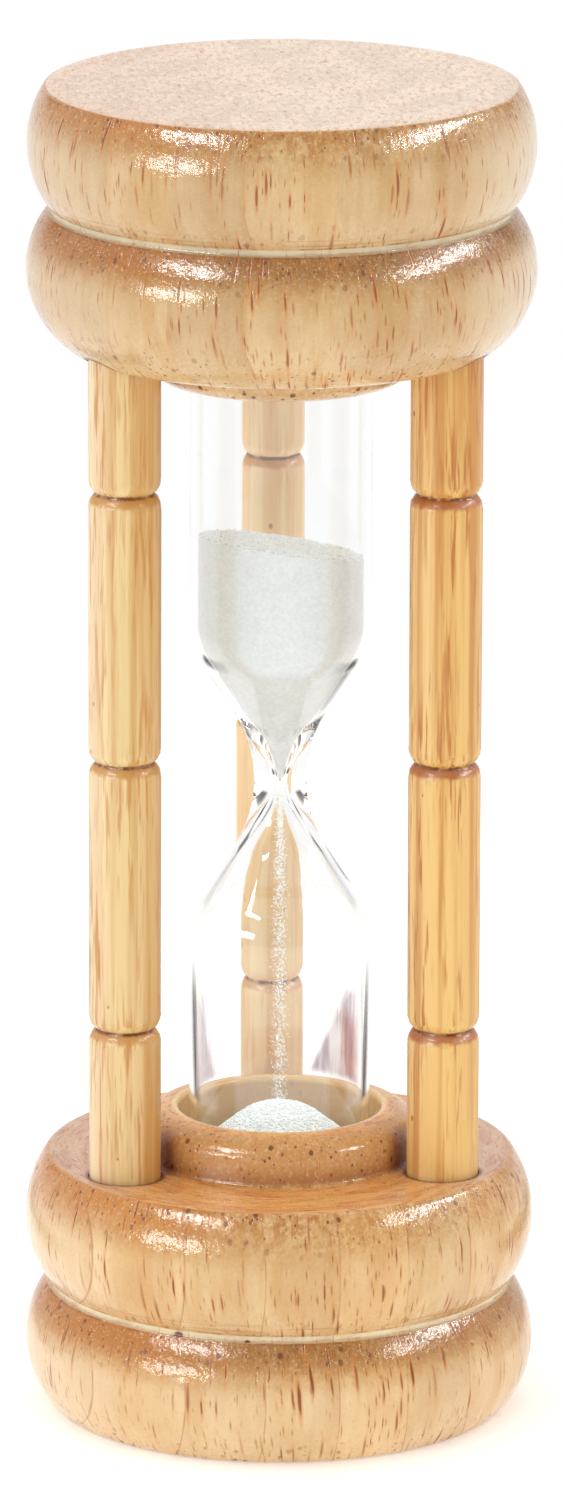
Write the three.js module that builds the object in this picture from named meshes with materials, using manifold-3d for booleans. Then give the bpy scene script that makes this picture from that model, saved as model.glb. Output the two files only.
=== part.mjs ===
// A small wooden hourglass: two turned caps joined by three grooved posts, with a glass vial of sand
// standing loose in the sockets between them. Millimetres, +Z up, origin at the middle of the base.
import * as THREE from 'three';
import { mergeVertices } from 'three/addons/utils/BufferGeometryUtils.js';
import Module from 'manifold-3d';

// Glass vial: two equal bulbs that meet at a drawn neck
const vialRadius = 6.04;
const vialWall = 0.45;
const bulbLength = 33.9; // end of the glass to the middle of the neck
const shoulderHeight = 10.7; // middle of the neck to where a bulb's wall runs straight
const shoulderRadius = 5;
const neckRadius = 1.75; // outside of the glass at the waist
const funnelLean = 33.3; // degrees from the axis, outside of the glass between waist and shoulder
const orificeRadius = 0.3;
const neckLength = 5; // the glass thickens over this height on its way to the middle of the neck
const endRadius = 3; // rounding of the closed end
const endThickness = 1;

// Stopper in the filled end of the vial
const stopperPlugLength = 3;
const stopperHeadThickness = 2.2;
const stopperClearance = 0.06;
const stopperBevel = 0.4;

// Felt pads that the vial is held between
const basePadThickness = 1;
const topPadThickness = 2.9;
const topPadGap = 0.1; // slack between the upper pad and its cap
const padClearance = 0.45; // pad to socket wall

// Sand
const sandClearance = 0.1; // sand to glass, and stream to the rim of the orifice
const sandGap = 0.3; // between sand that lies and sand that falls
const upperSandDepth = 15.95; // middle of the neck to the surface, on the axis
const upperSandSlope = 10.7; // degrees
const upperSandBearing = 38.5; // degrees from +X, the way the surface falls
const heapHeight = 10.5; // inside floor of the vial to the peak
const heapSlope = 38; // degrees, the angle at which the sand comes to rest
const heapPeakRadius = 4.6;

// Sockets and collars
const socketClearance = 0.75; // glass to socket wall
const socketFloor = 8; // wood left under a socket
const collarWall = 2.4;
const collarFlare = 0.25; // at the foot
const collarChamfer = 0.3; // inner edge of the rim

// Posts
const postRadius = 2.38;
const postCount = 3;
const postHoleClearance = 0.3;
const postHoleDepth = 9;
const postEndGap = 0.3; // glue space over the upper end of a post
const postEndChamfer = 0.35;
const collarToPost = 0.63;
const grooveSpacing = 18.2;
const grooveCount = 3;
const grooveDepth = 0.45;
const grooveHalfWidth = 0.5;
const grooveShoulder = 0.45;

// Turned caps. Heights start at a cap's own outer face, radii at the body line just outside the posts.
const rimLand = 0.42; // post hole to the body line
const quirkDepth = 0.2; // narrow flat-bottomed cut between the two beads
const quirkWidth = 0.45;
const baseTurning = {
  faceInset: 0.2,
  outerBead: { height: 8.67, swell: 1.68 },
  quirkInset: -0.3,
  innerBead: { height: 8.7, swell: 1.37 },
  crestInset: -0.37,
  crestRound: 0.2, // where the inner bead rolls over into the inner face
  faceDish: 0.1,
  collarRise: 3.2,
  collarRound: 1.6, // height of the rim's rounded outer edge
};
const topTurning = {
  faceInset: -0.26,
  outerBead: { height: 8.14, swell: 1.27 },
  quirkInset: -0.12,
  innerBead: { height: 9.37, swell: 1.87 },
  crestInset: 0.79,
  crestRound: 0.5,
  faceDish: 0.1,
  collarRise: 2.34,
  collarRound: 2,
};

// How finely round forms are faceted
const capSides = 48;
const vialSides = 32;
const postSides = 18;
const streamSides = 8;

// Sizes and places that follow from the dimensions above
const boreRadius = vialRadius - vialWall;
const socketRadius = vialRadius + socketClearance;
const padRadius = socketRadius - padClearance;
const collarRadius = socketRadius + collarWall;
const postHoleRadius = postRadius + postHoleClearance;
const postCircleRadius = collarRadius + collarToPost + postRadius;
const bodyRadius = postCircleRadius + postHoleRadius + rimLand;
const vialBottom = socketFloor + basePadThickness;
const vialFloor = vialBottom + endThickness;
const neckHeight = vialBottom + bulbLength;
const vialTop = neckHeight + bulbLength;
const stopperTop = vialTop + stopperHeadThickness;
const standHeight = stopperTop + topPadThickness + topPadGap + socketFloor;
const baseFace = faceHeight(baseTurning);
const topFace = standHeight - faceHeight(topTurning);
const postBottom = baseFace - postHoleDepth;
const postTop = topFace + postHoleDepth - postEndGap;
const heapPeak = vialFloor + heapHeight;

const wasm = await Module();
wasm.setup();

const wood = new THREE.MeshStandardMaterial({ color: 0xd9a971, roughness: 0.35, metalness: 0 });
const postWood = new THREE.MeshStandardMaterial({ color: 0xe6c489, roughness: 0.45, metalness: 0 });
const glass = new THREE.MeshStandardMaterial({
  color: 0xe9f2f0,
  roughness: 0.03,
  metalness: 0,
  transparent: true,
  opacity: 0.3,
});
const sand = new THREE.MeshStandardMaterial({ color: 0xf3f4f2, roughness: 0.9, metalness: 0 });
const cork = new THREE.MeshStandardMaterial({ color: 0xb98c5e, roughness: 0.85, metalness: 0 });
const felt = new THREE.MeshStandardMaterial({ color: 0x8a8378, roughness: 0.95, metalness: 0 });

const group = new THREE.Group();
group.name = 'hourglass';
group.add(makeCap('base_cap', baseTurning));
const topCap = makeCap('top_cap', topTurning);
topCap.rotation.y = Math.PI;
topCap.position.z = standHeight;
group.add(topCap);
for (const [name, angle] of postPlaces()) {
  const post = makePost(name);
  post.position.set(postCircleRadius * Math.sin(angle), -postCircleRadius * Math.cos(angle), 0);
  group.add(post);
}
group.add(makeVial());
group.add(makeStopper());
group.add(makePad('base_pad', socketFloor, basePadThickness));
group.add(makePad('top_pad', stopperTop, topPadThickness));
group.add(makeUpperSand());
group.add(makeLowerSand());
group.add(makeStream());

export default group;

// Height of the inner face at the crest of the inner bead
function faceHeight(turning) {
  return turning.outerBead.height + turning.innerBead.height;
}

// Two posts stand at the front and one at the back; angles are measured from -Y.
function postPlaces() {
  const names = ['post_left', 'post_right', 'post_back'];
  const step = (2 * Math.PI) / postCount;
  return names.map((name, i) => [name, step * (i - 0.5)]);
}

// A cap: outer face, two beads with a quirk between them, dished inner face, collar, socket, post holes
function makeCap(name, turning) {
  const path = new THREE.Path();
  const faceRadius = bodyRadius - turning.faceInset;
  const quirkRadius = bodyRadius - turning.quirkInset;
  const crestRadius = bodyRadius - turning.crestInset;
  const quirkHeight = turning.outerBead.height;
  const innerFace = faceHeight(turning);
  const { crestRound, collarRound } = turning;
  const crown = collarWall - collarChamfer;
  const collarFoot = innerFace - turning.faceDish;
  const rim = collarFoot + turning.collarRise;
  path.moveTo(0, 0);
  path.lineTo(faceRadius, 0);
  bulgeTo(path, quirkRadius, quirkHeight - quirkWidth / 2, turning.outerBead.swell);
  path.lineTo(quirkRadius - quirkDepth, quirkHeight - quirkWidth / 2);
  path.lineTo(quirkRadius - quirkDepth, quirkHeight + quirkWidth / 2);
  path.lineTo(quirkRadius, quirkHeight + quirkWidth / 2);
  bulgeTo(path, crestRadius, innerFace - crestRound, turning.innerBead.swell);
  path.quadraticCurveTo(crestRadius - crestRound, innerFace, crestRadius - 2.4 * crestRound, innerFace);
  path.lineTo(collarRadius + collarFlare, collarFoot);
  path.lineTo(collarRadius, collarFoot + collarFlare);
  path.lineTo(collarRadius, rim - collarRound);
  path.absellipse(collarRadius - crown, rim - collarRound, crown, collarRound, 0, Math.PI / 2, false, 0);
  path.lineTo(socketRadius, rim - collarChamfer);
  path.lineTo(socketRadius, socketFloor);
  path.lineTo(0, socketFloor);
  let body = toManifold(revolve(outline(path, 3), capSides));
  const floor = innerFace - postHoleDepth;
  for (const [, angle] of postPlaces()) {
    const hole = revolve(
      [point(0, floor), point(postHoleRadius, floor), point(postHoleRadius, rim), point(0, rim)],
      postSides,
    );
    hole.translate(postCircleRadius * Math.sin(angle), -postCircleRadius * Math.cos(angle), 0);
    body = body.subtract(toManifold(hole));
  }
  return mesh(name, fromManifold(body), wood);
}

// A dowel with V-shaped grooves turned into it, their shoulders eased
function makePost(name) {
  const path = new THREE.Path();
  const flank = Math.hypot(grooveDepth, grooveHalfWidth);
  const eased = Math.min(grooveShoulder / flank, 0.8);
  const easedDepth = postRadius - grooveDepth * eased;
  const easedRise = grooveHalfWidth * (1 - eased);
  path.moveTo(0, postBottom);
  path.lineTo(postRadius - postEndChamfer, postBottom);
  path.lineTo(postRadius, postBottom + postEndChamfer);
  for (let i = 0; i < grooveCount; i++) {
    const middle = standHeight / 2 + (i - (grooveCount - 1) / 2) * grooveSpacing;
    const edge = grooveHalfWidth + grooveShoulder;
    path.lineTo(postRadius, middle - edge);
    path.quadraticCurveTo(postRadius, middle - grooveHalfWidth, easedDepth, middle - easedRise);
    path.lineTo(postRadius - grooveDepth, middle);
    path.lineTo(easedDepth, middle + easedRise);
    path.quadraticCurveTo(postRadius, middle + grooveHalfWidth, postRadius, middle + edge);
  }
  path.lineTo(postRadius, postTop - postEndChamfer);
  path.lineTo(postRadius - postEndChamfer, postTop);
  path.lineTo(0, postTop);
  return mesh(name, revolve(outline(path, 2), postSides), postWood);
}

// The vial is one skin of glass: up its outside, over the open rim, and down its bore to the closed end.
function makeVial() {
  const outside = bulbWall(neckRadius, vialRadius, shoulderRadius, funnelLean);
  const inside = boreWall(0);
  const points = [
    ...closedEnd(vialRadius, endRadius, vialBottom),
    ...bothBulbs(outside),
    point(vialRadius, vialTop),
    point(boreRadius, vialTop),
    ...bothBulbs(inside).reverse(),
    ...closedEnd(boreRadius, endRadius - vialWall, vialFloor).reverse(),
  ];
  return mesh('glass_vial', revolve(points, vialSides), glass);
}

// A plug that fills the bore, with a head as wide as the glass that sits on its rim
function makeStopper() {
  const plugRadius = boreRadius - stopperClearance;
  const plugBottom = vialTop - stopperPlugLength;
  const points = [
    point(0, plugBottom),
    point(plugRadius - stopperBevel, plugBottom),
    point(plugRadius, plugBottom + stopperBevel),
    point(plugRadius, vialTop),
    point(vialRadius, vialTop),
    point(vialRadius, stopperTop - stopperBevel),
    point(vialRadius - stopperBevel, stopperTop),
    point(0, stopperTop),
  ];
  return mesh('vial_stopper', revolve(points, vialSides), cork);
}

function makePad(name, bottom, thickness) {
  const points = [
    point(0, bottom),
    point(padRadius, bottom),
    point(padRadius, bottom + thickness),
    point(0, bottom + thickness),
  ];
  return mesh(name, revolve(points, vialSides), felt);
}

// Sand left in the upper bulb: it fills the funnel and its surface has slumped to one side.
function makeUpperSand() {
  const slope = THREE.MathUtils.degToRad(upperSandSlope);
  const bearing = THREE.MathUtils.degToRad(upperSandBearing);
  const fillRadius = boreRadius - sandClearance;
  const surface = neckHeight + upperSandDepth;
  const brim = surface + fillRadius * Math.tan(slope) + sandGap;
  const tip = neckHeight + sandGap;
  const wall = boreWall(sandClearance).map((p) => point(p.x, neckHeight + p.y));
  const points = [
    point(0, tip),
    point(wall[0].x, tip),
    ...wall.slice(1),
    point(fillRadius, brim),
    point(0, brim),
  ];
  const cover = new THREE.BoxGeometry(4 * vialRadius, 4 * vialRadius, 2 * vialRadius);
  cover.translate(0, 0, vialRadius);
  cover.rotateY(slope);
  cover.rotateZ(bearing);
  cover.translate(0, 0, surface);
  const body = toManifold(revolve(points, vialSides)).subtract(toManifold(cover));
  return mesh('upper_sand', fromManifold(body), sand);
}

// Sand that has run through: a cone at its angle of rest, with a blunt peak
function makeLowerSand() {
  const slope = THREE.MathUtils.degToRad(heapSlope);
  const fillRadius = boreRadius - sandClearance;
  const floor = vialFloor + sandClearance;
  const peak = new THREE.Path();
  const peakEdge = heapPeakRadius * Math.sin(slope);
  const peakDrop = heapPeakRadius * (1 - Math.cos(slope));
  const rim = heapPeak - peakDrop - (fillRadius - peakEdge) * Math.tan(slope);
  peak.moveTo(fillRadius, rim);
  peak.lineTo(peakEdge, heapPeak - peakDrop);
  peak.absarc(0, heapPeak - heapPeakRadius, heapPeakRadius, Math.PI / 2 - slope, Math.PI / 2, false);
  const points = [
    ...closedEnd(fillRadius, endRadius - vialWall - sandClearance, floor),
    ...outline(peak, 2),
  ];
  return mesh('lower_sand', revolve(points, vialSides), sand);
}

// The thread of sand between the orifice and the peak of the heap
function makeStream() {
  const radius = orificeRadius - sandClearance;
  const top = neckHeight;
  const bottom = heapPeak + sandGap;
  const points = [point(0, bottom), point(radius, bottom), point(radius, top), point(0, top)];
  return mesh('sand_stream', revolve(points, streamSides), sand);
}

// Half of a waisted wall, from the middle of the neck to where the bulb runs straight, heights from the
// middle of the neck. A straight slope touches the shoulder's arc, and the waist's arc touches the slope.
function bulbWall(waist, bulb, shoulderArc, leanDegrees) {
  const lean = THREE.MathUtils.degToRad(leanDegrees);
  const shoulderCentre = bulb - shoulderArc;
  const slopeFoot = shoulderCentre + shoulderArc / Math.cos(lean) - shoulderHeight * Math.tan(lean);
  const waistArc = ((waist - slopeFoot) * Math.cos(lean)) / (1 - Math.cos(lean));
  const path = new THREE.Path();
  path.absarc(waist + waistArc, 0, waistArc, Math.PI, Math.PI - lean, true);
  path.absarc(shoulderCentre, shoulderHeight, shoulderArc, -lean, 0, false);
  return outline(path, 2);
}

// The wall of the bore, moved inwards by an inset. It keeps an even distance from the outside, and closes in
// to the orifice at the neck.
function boreWall(inset) {
  const wall = vialWall + inset;
  const even = bulbWall(neckRadius - wall, vialRadius - wall, shoulderRadius - wall, funnelLean);
  const closing = neckRadius - vialWall - orificeRadius;
  return even.map((p) => {
    const rise = Math.min(p.y / neckLength, 1);
    return point(p.x - closing * (1 - rise) ** 2 * (1 + 2 * rise), p.y);
  });
}

// The lower bulb's wall is the upper one's turned over; the neck's own point is kept once.
function bothBulbs(wall) {
  const upper = wall.map((p) => point(p.x, neckHeight + p.y));
  const lower = wall.slice(1).map((p) => point(p.x, neckHeight - p.y));
  return [...lower.reverse(), ...upper];
}

// The rounded closed end of a tube, from the axis outwards and up to its straight wall
function closedEnd(radius, rounding, bottom) {
  const path = new THREE.Path();
  path.moveTo(0, bottom);
  path.lineTo(radius - rounding, bottom);
  path.absarc(radius - rounding, bottom + rounding, rounding, -Math.PI / 2, 0, false);
  return outline(path, 2);
}

// Adds an arc from the path's end to a point, standing out to its right by the swell
function bulgeTo(path, x, y, swell) {
  const from = path.currentPoint;
  const chord = Math.hypot(x - from.x, y - from.y);
  const radius = (chord * chord) / (8 * swell) + swell / 2;
  const normal = point((y - from.y) / chord, (from.x - x) / chord);
  const back = radius - swell;
  const centre = point((x + from.x) / 2 - normal.x * back, (y + from.y) / 2 - normal.y * back);
  const start = Math.atan2(from.y - centre.y, from.x - centre.x);
  const end = Math.atan2(y - centre.y, x - centre.x);
  path.absarc(centre.x, centre.y, radius, start, end, false);
}

function point(x, y) {
  return new THREE.Vector2(x, y);
}

// A path's points, with no two alike in a row
function outline(path, divisions) {
  return path.getPoints(divisions).filter((p, i, all) => i === 0 || p.distanceTo(all[i - 1]) > 1e-4);
}

// Turns a profile (radius, height) round Z and leaves one closed skin
function revolve(points, sides) {
  const turned = new THREE.LatheGeometry(points, sides);
  turned.rotateX(Math.PI / 2);
  return closedSkin(turned);
}

// Shares vertices by position and drops the triangles that collapse on the axis
function closedSkin(geometry) {
  geometry.deleteAttribute('normal');
  geometry.deleteAttribute('uv');
  const merged = mergeVertices(geometry);
  const index = merged.index.array;
  const kept = [];
  for (let i = 0; i < index.length; i += 3) {
    const [a, b, c] = [index[i], index[i + 1], index[i + 2]];
    if (a !== b && b !== c && c !== a) kept.push(a, b, c);
  }
  merged.setIndex(kept);
  return merged;
}

function toManifold(geometry) {
  const skin = geometry.attributes.normal ? closedSkin(geometry) : geometry;
  const vertProperties = new Float32Array(skin.attributes.position.array);
  const triVerts = new Uint32Array(skin.index.array);
  return new wasm.Manifold(new wasm.Mesh({ numProp: 3, vertProperties, triVerts }));
}

function fromManifold(body) {
  const { vertProperties, triVerts } = body.getMesh();
  const geometry = new THREE.BufferGeometry();
  geometry.setAttribute('position', new THREE.BufferAttribute(vertProperties, 3));
  geometry.setIndex(new THREE.BufferAttribute(triVerts, 1));
  return geometry;
}

function mesh(name, geometry, material) {
  geometry.computeVertexNormals();
  const piece = new THREE.Mesh(geometry, material);
  piece.name = name;
  return piece;
}
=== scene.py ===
import math
import random

import bpy
import numpy as np
from mathutils import Euler, Matrix, Vector


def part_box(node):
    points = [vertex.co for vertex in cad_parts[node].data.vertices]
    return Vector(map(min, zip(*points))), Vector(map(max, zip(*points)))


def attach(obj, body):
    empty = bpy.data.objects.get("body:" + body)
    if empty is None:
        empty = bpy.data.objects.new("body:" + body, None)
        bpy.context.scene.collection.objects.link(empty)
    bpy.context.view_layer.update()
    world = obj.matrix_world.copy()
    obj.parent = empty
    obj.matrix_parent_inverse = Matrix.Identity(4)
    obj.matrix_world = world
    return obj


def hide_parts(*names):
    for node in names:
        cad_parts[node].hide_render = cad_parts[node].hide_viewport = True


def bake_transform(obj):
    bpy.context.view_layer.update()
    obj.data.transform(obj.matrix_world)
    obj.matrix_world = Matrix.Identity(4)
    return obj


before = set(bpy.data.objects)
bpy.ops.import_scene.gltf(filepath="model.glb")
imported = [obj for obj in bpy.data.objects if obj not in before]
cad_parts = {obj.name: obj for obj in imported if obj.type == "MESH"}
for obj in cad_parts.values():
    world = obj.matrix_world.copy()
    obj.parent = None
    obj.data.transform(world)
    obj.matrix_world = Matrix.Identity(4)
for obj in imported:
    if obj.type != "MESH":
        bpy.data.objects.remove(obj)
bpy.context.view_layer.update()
mm = 0.001


class Field:
    # a socket's value; + - * / add Math nodes
    def __init__(self, shader, socket):
        self.shader = shader
        self.socket = socket

    def __add__(self, other):
        return self.shader.maths("ADD", self, other)

    def __radd__(self, other):
        return self.shader.maths("ADD", other, self)

    def __sub__(self, other):
        return self.shader.maths("SUBTRACT", self, other)

    def __rsub__(self, other):
        return self.shader.maths("SUBTRACT", other, self)

    def __mul__(self, other):
        return self.shader.maths("MULTIPLY", self, other)

    def __rmul__(self, other):
        return self.shader.maths("MULTIPLY", other, self)

    def __truediv__(self, other):
        return self.shader.maths("DIVIDE", self, other)


class Shader:
    def __init__(self, name, kind="Material"):
        library = bpy.data.worlds if kind == "World" else bpy.data.materials
        self.kind = kind
        self.owner = library.new(name)
        self.owner.use_nodes = True
        self.tree = self.owner.node_tree
        self.tree.nodes.clear()

    # any node: its kind, its settings, what its sockets hold, and which output is wanted
    def node(self, kind, settings=None, inputs=None, out=0):
        made = self.tree.nodes.new("ShaderNode" + kind)
        for key, value in (settings or {}).items():
            setattr(made, key, value)
        for key, value in (inputs or {}).items():
            if isinstance(value, Field):
                self.tree.links.new(value.socket, made.inputs[key])
            else:
                made.inputs[key].default_value = value
        return Field(self, made.outputs[out])

    def maths(self, operation, a, b=0.0):
        return self.node("Math", {"operation": operation}, {0: a, 1: b})

    def vector(self, operation, a, b):
        return self.node("VectorMath", {"operation": operation}, {0: a, 1: b})

    def length(self, vector):
        return self.node("VectorMath", {"operation": "LENGTH"}, {0: vector}, out="Value")

    def combine(self, x, y, z):
        return self.node("CombineXYZ", inputs={"X": x, "Y": y, "Z": z})

    def split(self, vector):
        return [self.node("SeparateXYZ", inputs={0: vector}, out=i) for i in range(3)]

    # object coordinates in millimetres
    def place(self):
        where = self.node("TexCoord", out="Object")
        return self.node("VectorMath", {"operation": "SCALE"}, {0: where, "Scale": 1000.0})

    # 0 below low, 1 above high, eased between
    def ease(self, value, low, high):
        settings = {"interpolation_type": "SMOOTHSTEP"}
        return self.node("MapRange", settings, {"Value": value, "From Min": low, "From Max": high})

    def noise(self, vector, scale, detail=2.0, roughness=0.5, distortion=0.0):
        values = {"Vector": vector, "Scale": scale, "Detail": detail, "Roughness": roughness}
        values["Distortion"] = distortion
        return self.node("TexNoise", inputs=values)

    def mix(self, factor, a, b, blend="MIX"):
        settings = {"data_type": "RGBA", "blend_type": blend}
        return self.node("Mix", settings, {0: factor, 6: a, 7: b}, out=2)

    def bump(self, height, depth, strength=1.0, below=None):
        values = {"Height": height, "Distance": depth * mm, "Strength": strength}
        if below:
            values["Normal"] = below
        return self.node("Bump", inputs=values)

    # 1 where any of the named kinds of ray looks at the surface
    def seenBy(self, *rays):
        seen = self.node("LightPath", out=rays[0])
        for ray in rays[1:]:
            seen = self.maths("MAXIMUM", seen, self.node("LightPath", out=ray))
        return seen

    def finish(self, surface):
        end = self.tree.nodes.new("ShaderNodeOutput" + self.kind)
        self.tree.links.new(surface.socket, end.inputs["Surface"])
        return self.owner


# a colour from its usual 0-255 numbers
def tint(red, green, blue):
    linear = []
    for part in (red, green, blue):
        share = part / 255
        linear.append(share / 12.92 if share <= 0.04045 else ((share + 0.055) / 1.055) ** 2.4)
    return (*linear, 1.0)


def deselectAll():
    bpy.ops.object.select_all(action="DESELECT")


# points on an arc round a centre, angles in degrees
def arc(centre, radius, start, end, count):
    angles = [math.radians(start + (end - start) * i / count) for i in range(count + 1)]
    return [(centre[0] + radius * math.cos(a), centre[1] + radius * math.sin(a)) for a in angles]


# an arc from one point to another that stands out to the right by the swell
def bulge(start, end, swell, count):
    dx, dy = end[0] - start[0], end[1] - start[1]
    chord = math.hypot(dx, dy)
    radius = chord * chord / (8 * swell) + swell / 2
    back = radius - swell
    centre = ((start[0] + end[0]) / 2 - dy / chord * back, (start[1] + end[1]) / 2 + dx / chord * back)
    first = math.degrees(math.atan2(start[1] - centre[1], start[0] - centre[0]))
    last = math.degrees(math.atan2(end[1] - centre[1], end[0] - centre[0]))
    return arc(centre, radius, first, last, count)


# a quadratic curve between two points
def easedCorner(start, corner, end, count):
    points = []
    for i in range(count + 1):
        t = i / count
        a, b, c = (1 - t) ** 2, 2 * t * (1 - t), t * t
        points.append(tuple(a * start[k] + b * corner[k] + c * end[k] for k in (0, 1)))
    return points


# a point part of the way from one point to another
def between(a, b, share):
    return tuple(m + (n - m) * share for m, n in zip(a, b))


# turns a profile of (radius, height) in millimetres round the Z axis;
# a long straight run has a ring close to each end, so smooth shading stays true along it
def turned(name, profile, steps):
    deselectAll()
    points = [profile[0]]
    for p in profile[1:]:
        run = math.dist(p, points[-1])
        if run > 1.5:
            last = points[-1]
            points += [between(last, p, 0.12 / run), between(last, p, 1 - 0.12 / run)]
        if run > 0.004:
            points.append(p)
    bpy.ops.mesh.primitive_plane_add(size=mm, location=(0, 0, 0))
    piece = bpy.context.object
    piece.name = piece.data.name = name
    bpy.ops.object.mode_set(mode="EDIT")
    bpy.ops.mesh.select_all(action="SELECT")
    bpy.ops.mesh.merge(type="CENTER")
    bpy.ops.transform.translate(value=(points[0][0] * mm, 0, points[0][1] * mm))
    for (r0, z0), (r1, z1) in zip(points, points[1:]):
        move = ((r1 - r0) * mm, 0, (z1 - z0) * mm)
        bpy.ops.mesh.extrude_region_move(TRANSFORM_OT_translate={"value": move})
    bpy.ops.mesh.select_all(action="SELECT")
    bpy.ops.mesh.spin(steps=steps, angle=2 * math.pi, center=(0, 0, 0), axis=(0, 0, 1))
    bpy.ops.mesh.select_all(action="SELECT")
    bpy.ops.mesh.remove_doubles(threshold=0.001 * mm)
    bpy.ops.mesh.normals_make_consistent(inside=False)
    bpy.ops.object.mode_set(mode="OBJECT")
    return piece


def smooth(piece, angle=32):
    deselectAll()
    piece.select_set(True)
    bpy.context.view_layer.objects.active = piece
    bpy.ops.object.shade_smooth_by_angle(angle=math.radians(angle))


def wear(piece, material):
    piece.data.materials.clear()
    piece.data.materials.append(material)


def settle(piece, body, slot, *nodes):
    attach(piece, body)
    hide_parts(*nodes)


vialLow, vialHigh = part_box("glass_vial")
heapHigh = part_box("lower_sand")[1]
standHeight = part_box("top_cap")[1].z / mm
neckHeight = (vialLow.z + vialHigh.z) / 2 / mm
vialBottom = vialLow.z / mm
vialTop = vialHigh.z / mm


def postPlace(name):
    low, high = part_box(name)
    return (low.x + high.x) / 2 / mm, (low.y + high.y) / 2 / mm


camera = {
    "azimuth": -2.853,
    "elevation": 14.461,
    "roll": 0.158,
    "distance": 793.2,
    "aimHeight": 44.88,
    "lens": 286.37,
    "shift": 0.00075,
}


def makeCamera():
    a, e = math.radians(camera["azimuth"]), math.radians(camera["elevation"])
    back = Vector((math.sin(a) * math.cos(e), -math.cos(a) * math.cos(e), math.sin(e)))
    made = bpy.data.objects.new("camera", bpy.data.cameras.new("camera"))
    bpy.context.scene.collection.objects.link(made)
    made.location = Vector((0, 0, camera["aimHeight"] * mm)) + back * camera["distance"] * mm
    turn = (-back).to_track_quat("-Z", "Y").to_matrix()
    roll = Matrix.Rotation(math.radians(camera["roll"]), 3, "Z")
    made.rotation_euler = (turn @ roll).to_euler()
    made.data.lens = camera["lens"]
    made.data.sensor_width = 36
    made.data.shift_x = camera["shift"]
    made.data.clip_start = 0.01
    made.data.clip_end = 50
    bpy.context.scene.camera = made


makeCamera()
print("camera in place")


cap = {
    "rimLand": 0.42,
    "quirkDepth": 0.2,
    "quirkWidth": 0.45,
    "socketFloor": 8.0,
    "collarWall": 2.4,
    "collarFlare": 0.25,
    "collarChamfer": 0.3,
    "faceEdge": 0.45,
    "holeDepth": 9.0,
    "holeClearance": 0.3,
    "holeFit": 0.07,
    "holeEase": 0.06,
    "steps": 192,
}
vialFit = {"socketClearance": 0.75}
base = {
    "faceInset": 0.2,
    "outerBead": (8.67, 1.665),
    "quirkInset": -0.3,
    "innerBead": (8.7, 1.37),
    "crestInset": -0.37,
    "crestRound": 0.2,
    "faceDish": 0.1,
    "collarRise": 3.2,
    "collarRound": 1.6,
    "tone": 0.875,
    # the next three: painted light at the sides, painted shade on the right, painted light from the floor low
    # down
    "paintedLight": (0.5, 0.0),
    "paintedShade": 0.22,
    "paintedFloorLight": 0.24,
    "collarTint": 1.0,
    "gloss": 0.85,
    "lean": 12.3,
    "stripOffset": 0.41,
    "seamDepth": 0.75,
    "knots": [(math.radians(-28.35), 15.35, 8.42, 0.44), (math.radians(-10.5), 15.35, 8.35, 0.28)],
    "turnedOver": False,
}
top = {
    "faceInset": -0.26,
    "outerBead": (8.14, 1.27),
    "quirkInset": -0.12,
    "innerBead": (9.37, 1.855),
    "crestInset": 0.79,
    "crestRound": 0.5,
    "faceDish": 0.1,
    "collarRise": 2.34,
    "collarRound": 2.0,
    "tone": 0.7,
    # the next three: painted light at the sides, painted shade on the right, painted light from the floor low
    # down
    "paintedLight": (0.6, 0.9),
    "paintedShade": 0.0,
    "paintedFloorLight": 0.0,
    "collarTint": 0.12,
    "gloss": 0.95,
    "lean": -38,
    "stripOffset": 2.2,
    "seamDepth": 0.12,
    "knots": [(math.radians(-33), 16.2, 78.9, 0.28)],
    "turnedOver": True,
}
post = {
    "radius": 2.38,
    "endGap": 0.3,
    "endChamfer": 0.35,
    "grooveSpacing": 18.2,
    "grooveCount": 3,
    "grooveDepth": 0.45,
    "grooveHalfWidth": 0.5,
    "grooveShoulder": 0.45,
    "ragged": 0.045,
    "steps": 72,
}
postNames = ("post_left", "post_right", "post_back")
vialRadius = vialHigh.x / mm
socketRadius = vialRadius + vialFit["socketClearance"]
collarRadius = socketRadius + cap["collarWall"]
postCircle = math.hypot(*postPlace("post_left"))
holeRadius = post["radius"] + cap["holeClearance"]
bodyRadius = postCircle + holeRadius + cap["rimLand"]


def innerFace(turning):
    return turning["outerBead"][0] + turning["innerBead"][0]


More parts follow.
